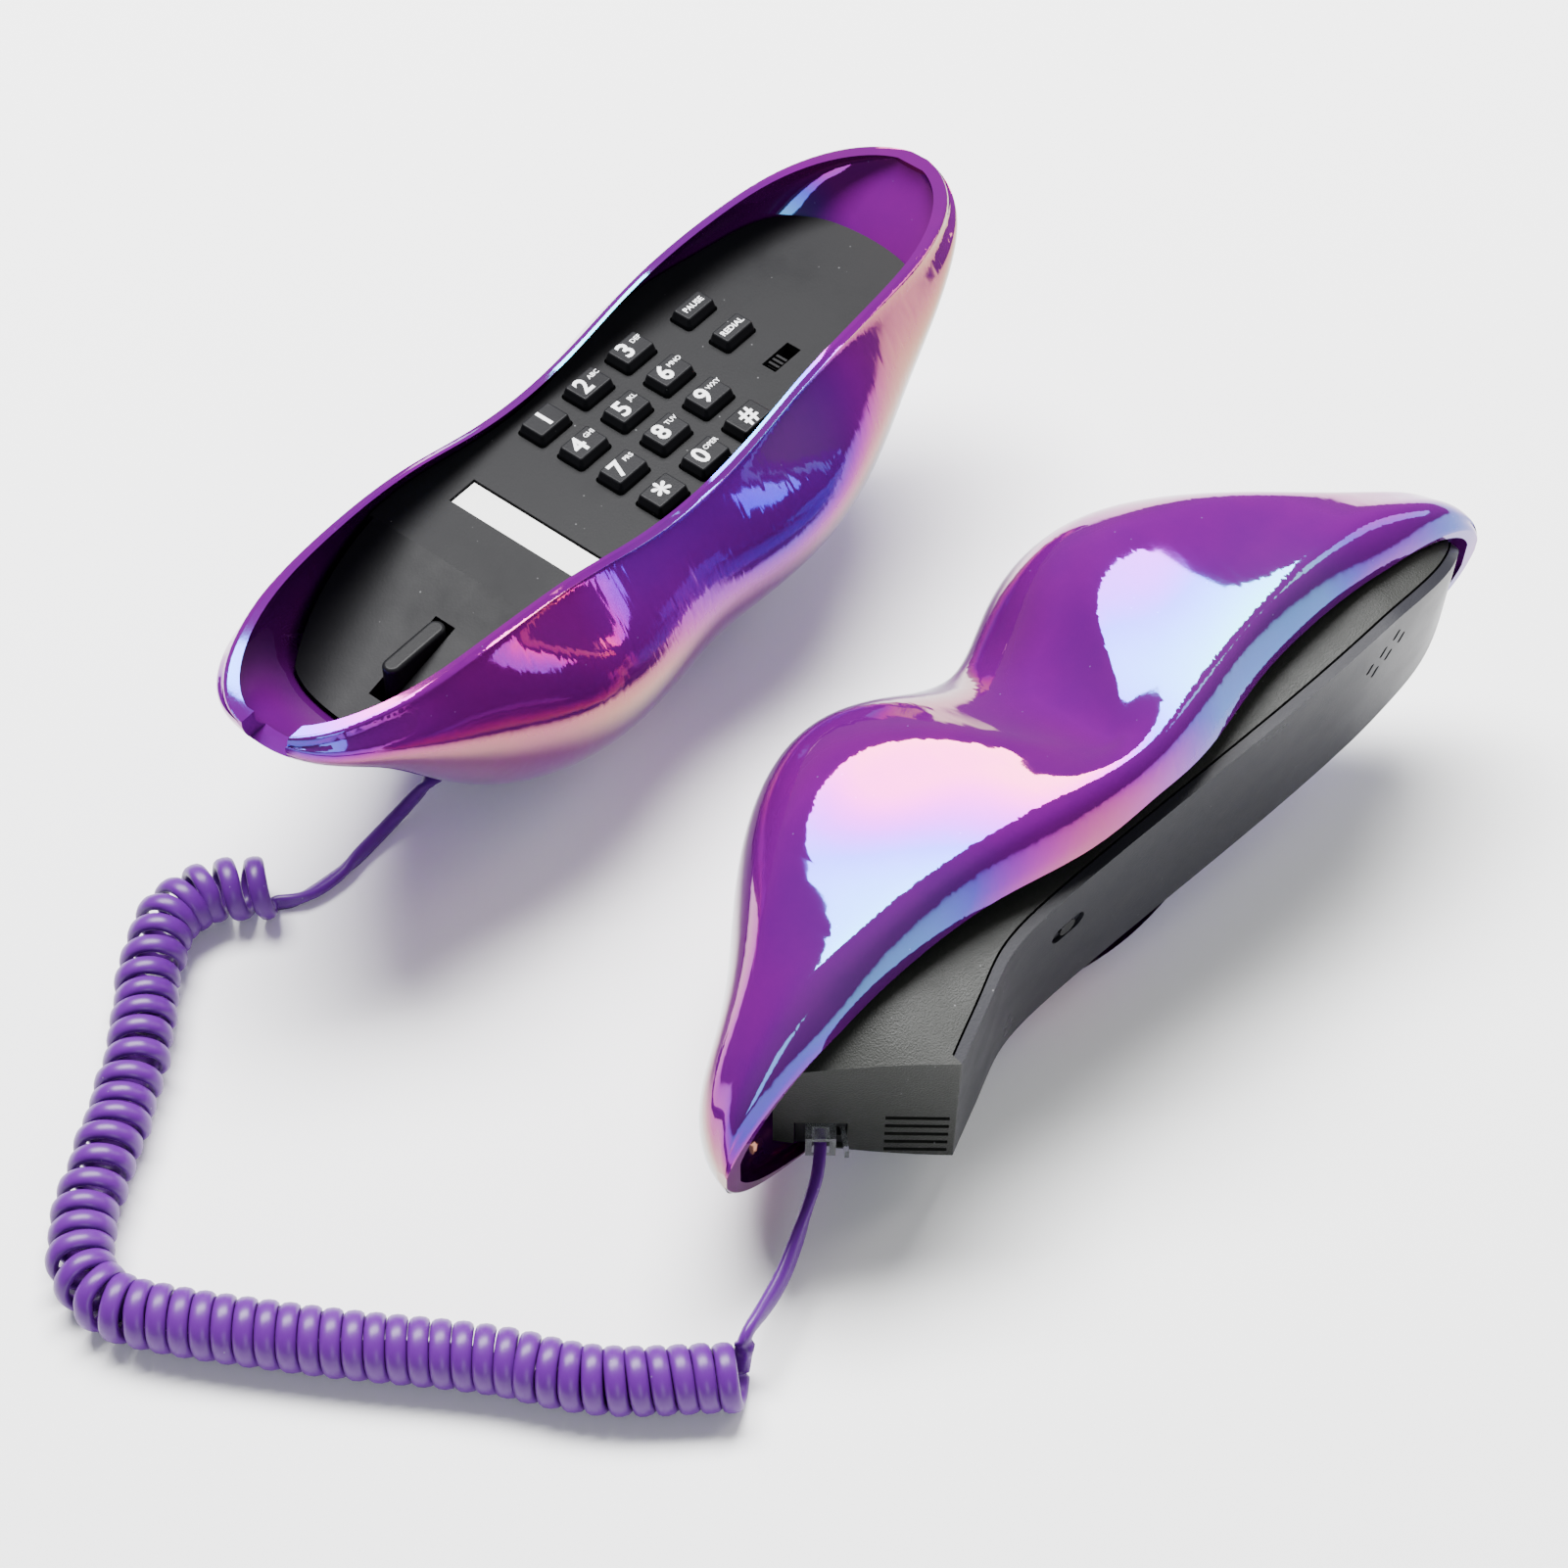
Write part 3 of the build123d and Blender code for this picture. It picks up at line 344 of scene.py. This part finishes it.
# ---------------------------------------------------------------- iridescent lips
def lip_material():
    """Violet lacquer under a thin film whose hue shifts with the angle and, slowly, along the surface."""
    material, shader = surface("lip_lacquer", (0.070, 0.0006, 0.13), (0.14, 0.001, 0.16), 0.05,
                               1500.0, 0.01, 0.02, (0.3, 0.2, 0.5))
    shader.inputs["Metallic"].default_value = 0.2
    shader.inputs["IOR"].default_value = 2.9
    shader.inputs["Thin Film IOR"].default_value = 1.7
    shader.inputs["Specular IOR Level"].default_value = 0.5
    shader.inputs["Coat Weight"].default_value = 0.15
    shader.inputs["Coat Roughness"].default_value = 0.02
    nodes, links = material.node_tree.nodes, material.node_tree.links
    coordinates = nodes.new("ShaderNodeTexCoord")
    drift = nodes.new("ShaderNodeTexNoise")
    drift.inputs["Scale"].default_value = 14.0
    drift.inputs["Detail"].default_value = 1.0
    links.new(coordinates.outputs["Object"], drift.inputs["Vector"])
    # nanometres, between which the reflections run from pink to cyan
    thickness = nodes.new("ShaderNodeMapRange")
    thickness.inputs["From Min"].default_value = 0.35
    thickness.inputs["From Max"].default_value = 0.65
    thickness.inputs["To Min"].default_value = 235.0
    thickness.inputs["To Max"].default_value = 305.0
    links.new(drift.outputs["Fac"], thickness.inputs["Value"])
    links.new(thickness.outputs["Result"], shader.inputs["Thin Film Thickness"])
    return material


paint(lip_material(), "base_lip_shell", "handset_lip_shell")


# ---------------------------------------------------------------- black plastics
def black_plastic(name, colour, second_colour, roughness, scale, grain, waviness):
    """Nearly black moulded plastic that mirrors little of the lamps."""
    material, shader = surface(name, colour, second_colour, roughness, scale, grain, waviness)
    shader.inputs["Specular IOR Level"].default_value = DULL_REFLECTION
    return material


paint(black_plastic("deck_plastic", (0.008, 0.008, 0.009), (0.012, 0.012, 0.013), 0.42, 1800.0, 0.12, 0.03),
      "keypad_deck", "mode_switch_body", "mode_switch_knob", "hook_bracket", "ringer")
paint(black_plastic("lever_plastic", (0.006, 0.006, 0.007), (0.010, 0.010, 0.011), 0.32, 1500.0, 0.06, 0.03),
      "hook_lever", "face_screws", "base_cord_jack", "line_jack", "handset_cord_jack", "hook_switch")
paint(black_plastic("key_plastic", (0.007, 0.007, 0.008), (0.012, 0.012, 0.014), 0.36, 2200.0, 0.10, 0.02),
      *[name for name in NODES if name.startswith("key_")])
paint(black_plastic("face_plastic", (0.014, 0.014, 0.018), (0.020, 0.020, 0.025), 0.32, 2400.0, 0.20, 0.04),
      "handset_face")

# the receiver body and the bottom cover are textured, and a little lighter and more satin
body_plastic, _ = surface("body_plastic", (0.014, 0.015, 0.013), (0.020, 0.021, 0.019),
                          0.42, 2600.0, 0.55, 0.05)
paint(body_plastic, "handset_body")
cover_plastic, _ = surface("cover_plastic", (0.020, 0.020, 0.022), (0.030, 0.030, 0.032),
                           0.5, 1400.0, 0.3, 0.03)
paint(cover_plastic, "bottom_cover", "board_components")


# ---------------------------------------------------------------- rubber, board and card
rubber, _ = surface("foot_rubber", (0.020, 0.020, 0.020), (0.035, 0.035, 0.034), 0.8, 900.0, 0.5, 0.05)
paint(rubber, "rubber_feet")
grey_rubber, _ = surface("contact_rubber", (0.25, 0.26, 0.27), (0.30, 0.31, 0.32), 0.7, 900.0, 0.3, 0.05)
paint(grey_rubber, "keypad_mat", "receiver_gasket")
board, _ = surface("board_lacquer", (0.015, 0.11, 0.04), (0.02, 0.15, 0.055), 0.35, 1200.0, 0.1, 0.02)
paint(board, "main_board")
card, _ = surface("card_paper", (0.82, 0.82, 0.81), (0.87, 0.87, 0.86),
                  0.7, 1600.0, 0.2, 0.02, (0.6, 0.6, 0.58))
paint(card, "memo_card")


# ---------------------------------------------------------------- metal parts
steel, steel_shader = surface("plated_steel", (0.55, 0.55, 0.54), (0.62, 0.61, 0.60),
                              0.28, 1500.0, 0.1, 0.02)
steel_shader.inputs["Metallic"].default_value = 1.0
paint(steel, "hook_pin", "hook_spring", "board_screws", "bottom_screws", "shell_screws", "receiver",
      "microphone", "ballast_plate", "handset_weight")


# ---------------------------------------------------------------- clear plugs
clear, clear_shader = surface("clear_plug", (0.90, 0.92, 0.94), (0.95, 0.96, 0.97),
                              0.08, 900.0, 0.02, 0.02)
clear_shader.inputs["Transmission Weight"].default_value = 0.92
clear_shader.inputs["IOR"].default_value = 1.49
paint(clear, "base_cord_plug", "handset_cord_plug")


# ---------------------------------------------------------------- violet cord jacket
jacket, jacket_shader = surface("cord_jacket", (0.070, 0.004, 0.16), (0.095, 0.008, 0.20),
                                0.38, 1600.0, 0.12, 0.04)
jacket_shader.inputs["Coat Weight"].default_value = 0.25
jacket_shader.inputs["Coat Roughness"].default_value = 0.3
cord_object.data.materials.clear()
cord_object.data.materials.append(jacket)


# ---------------------------------------------------------------- softened edges
def soften(name, width):
    """A small rounded bevel along the sharp edges of a CAD node."""
    bevel = NODES[name].modifiers.new("soft_edges", "BEVEL")
    bevel.width = width
    bevel.segments = 3
    bevel.limit_method = "ANGLE"
    bevel.angle_limit = math.radians(38)
    bevel.harden_normals = True


soften("handset_face", 0.0004)
soften("keypad_deck", 0.0002)


# ---------------------------------------------------------------- legends on the keys
KEY_LEGENDS = {"key_1": ("1", ""), "key_2": ("2", "ABC"), "key_3": ("3", "DEF"),
               "key_4": ("4", "GHI"), "key_5": ("5", "JKL"), "key_6": ("6", "MNO"),
               "key_7": ("7", "PRS"), "key_8": ("8", "TUV"), "key_9": ("9", "WXY"),
               "key_star": ("*", ""), "key_0": ("0", "OPER"), "key_hash": ("#", "")}
WORD_KEYS = {"key_pause": "PAUSE", "key_redial": "REDIAL"}
DIGIT_SIZE = 0.0062
DIGIT_SHIFT = -0.0014
# the built-in face draws its star small and high on the line
STAR_SIZE = 0.0092
STAR_DROP = -0.0014
LETTERS_SIZE = 0.0017
LETTERS_SHIFT = 0.0026
LETTERS_LIFT = 0.0009
WORD_SIZE = 0.0021
INK_THICKNESS = 0.00003
INK_GAP = 0.00002
# how much the strokes of each kind of print are fattened
DIGIT_WEIGHT = 0.00016
LETTERS_WEIGHT = 0.00002
WORD_WEIGHT = 0.00004


def legend_mesh(name, text, size, centre, weight):
    """A word as a thin printed mesh lying on top of a key."""
    data = bpy.data.curves.new(name, "FONT")
    data.body = text
    data.size = size
    data.offset = weight
    data.extrude = INK_THICKNESS
    data.align_x = "CENTER"
    data.align_y = "CENTER"
    data.resolution_u = 3
    lettering = bpy.data.objects.new(name + "_text", data)
    bpy.context.scene.collection.objects.link(lettering)
    bpy.context.view_layer.update()
    mesh = bpy.data.meshes.new_from_object(lettering)
    bpy.data.objects.remove(lettering)
    mesh.transform(Matrix.Translation(centre))
    return mesh


ink, _ = surface("legend_ink", (0.78, 0.78, 0.80), (0.86, 0.86, 0.87),
                 0.5, 2600.0, 0.2, 0.02, (0.5, 0.5, 0.5))


def add_legend(key, name, text, size, offset_x, offset_y, weight):
    """Printed text on a key, riding with it."""
    low, high = (Vector(corner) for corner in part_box(key))
    centre = Vector(((low.x + high.x) / 2 + offset_x, (low.y + high.y) / 2 + offset_y, high.z + INK_GAP))
    mesh = legend_mesh(name, text, size, centre, weight)
    piece = bpy.data.objects.new(name, mesh)
    bpy.context.scene.collection.objects.link(piece)
    mesh.materials.clear()
    mesh.materials.append(ink)
    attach(piece, key)


for key, (digit, letters) in KEY_LEGENDS.items():
    shift = DIGIT_SHIFT if letters else 0.0
    size, drop = (STAR_SIZE, STAR_DROP) if digit == "*" else (DIGIT_SIZE, 0.0)
    add_legend(key, key + "_digit", digit, size, shift, drop, DIGIT_WEIGHT)
    if letters:
        add_legend(key, key + "_letters", letters, LETTERS_SIZE, LETTERS_SHIFT, LETTERS_LIFT, LETTERS_WEIGHT)
for key, word in WORD_KEYS.items():
    add_legend(key, key + "_word", word, WORD_SIZE, 0.0, 0.0, WORD_WEIGHT)


# ---------------------------------------------------------------- floor, light and world
def build_stage():
    """A plain pale floor under soft studio light."""
    floor_mesh = bpy.data.meshes.new("floor")
    reach = 3.0
    corners = [(-reach, -reach, 0), (reach, -reach, 0), (reach, reach, 0), (-reach, reach, 0)]
    floor_mesh.from_pydata(corners, [], [(0, 1, 2, 3)])
    floor = bpy.data.objects.new("floor", floor_mesh)
    bpy.context.scene.collection.objects.link(floor)
    floor_material = bpy.data.materials.new("floor_white")
    floor_material.use_nodes = True
    floor_shader = floor_material.node_tree.nodes["Principled BSDF"]
    floor_shader.inputs["Base Color"].default_value = (0.97, 0.97, 0.97, 1.0)
    floor_shader.inputs["Roughness"].default_value = 0.9
    floor_mesh.materials.append(floor_material)
    world = bpy.data.worlds.new("studio")
    world.use_nodes = True
    background = world.node_tree.nodes["Background"]
    background.inputs["Color"].default_value = (0.92, 0.92, 0.95, 1.0)
    background.inputs["Strength"].default_value = 0.22
    bpy.context.scene.world = world


def add_softbox(name, place, target, size, power, colour):
    """A rectangular area light turned towards a point."""
    data = bpy.data.lights.new(name, "AREA")
    data.shape = "RECTANGLE"
    data.size, data.size_y = size
    data.energy = power
    data.color = colour
    light = bpy.data.objects.new(name, data)
    light.location = place
    light.rotation_euler = (Vector(target) - Vector(place)).to_track_quat("-Z", "Y").to_euler()
    bpy.context.scene.collection.objects.link(light)


build_stage()
add_softbox("overhead", (0.42, 0.56, 1.5), (0, 0, 0), (1.5, 0.7), 135.0, (1.0, 1.0, 1.0))
add_softbox("front_left", (-0.75, -0.9, 0.55), (0, -0.05, 0.03), (0.35, 0.8), 5.0, (0.86, 0.97, 1.0))
add_softbox("right", (1.1, -0.5, 0.8), (0, 0, 0.03), (0.4, 1.0), 7.0, (1.0, 0.95, 0.92))
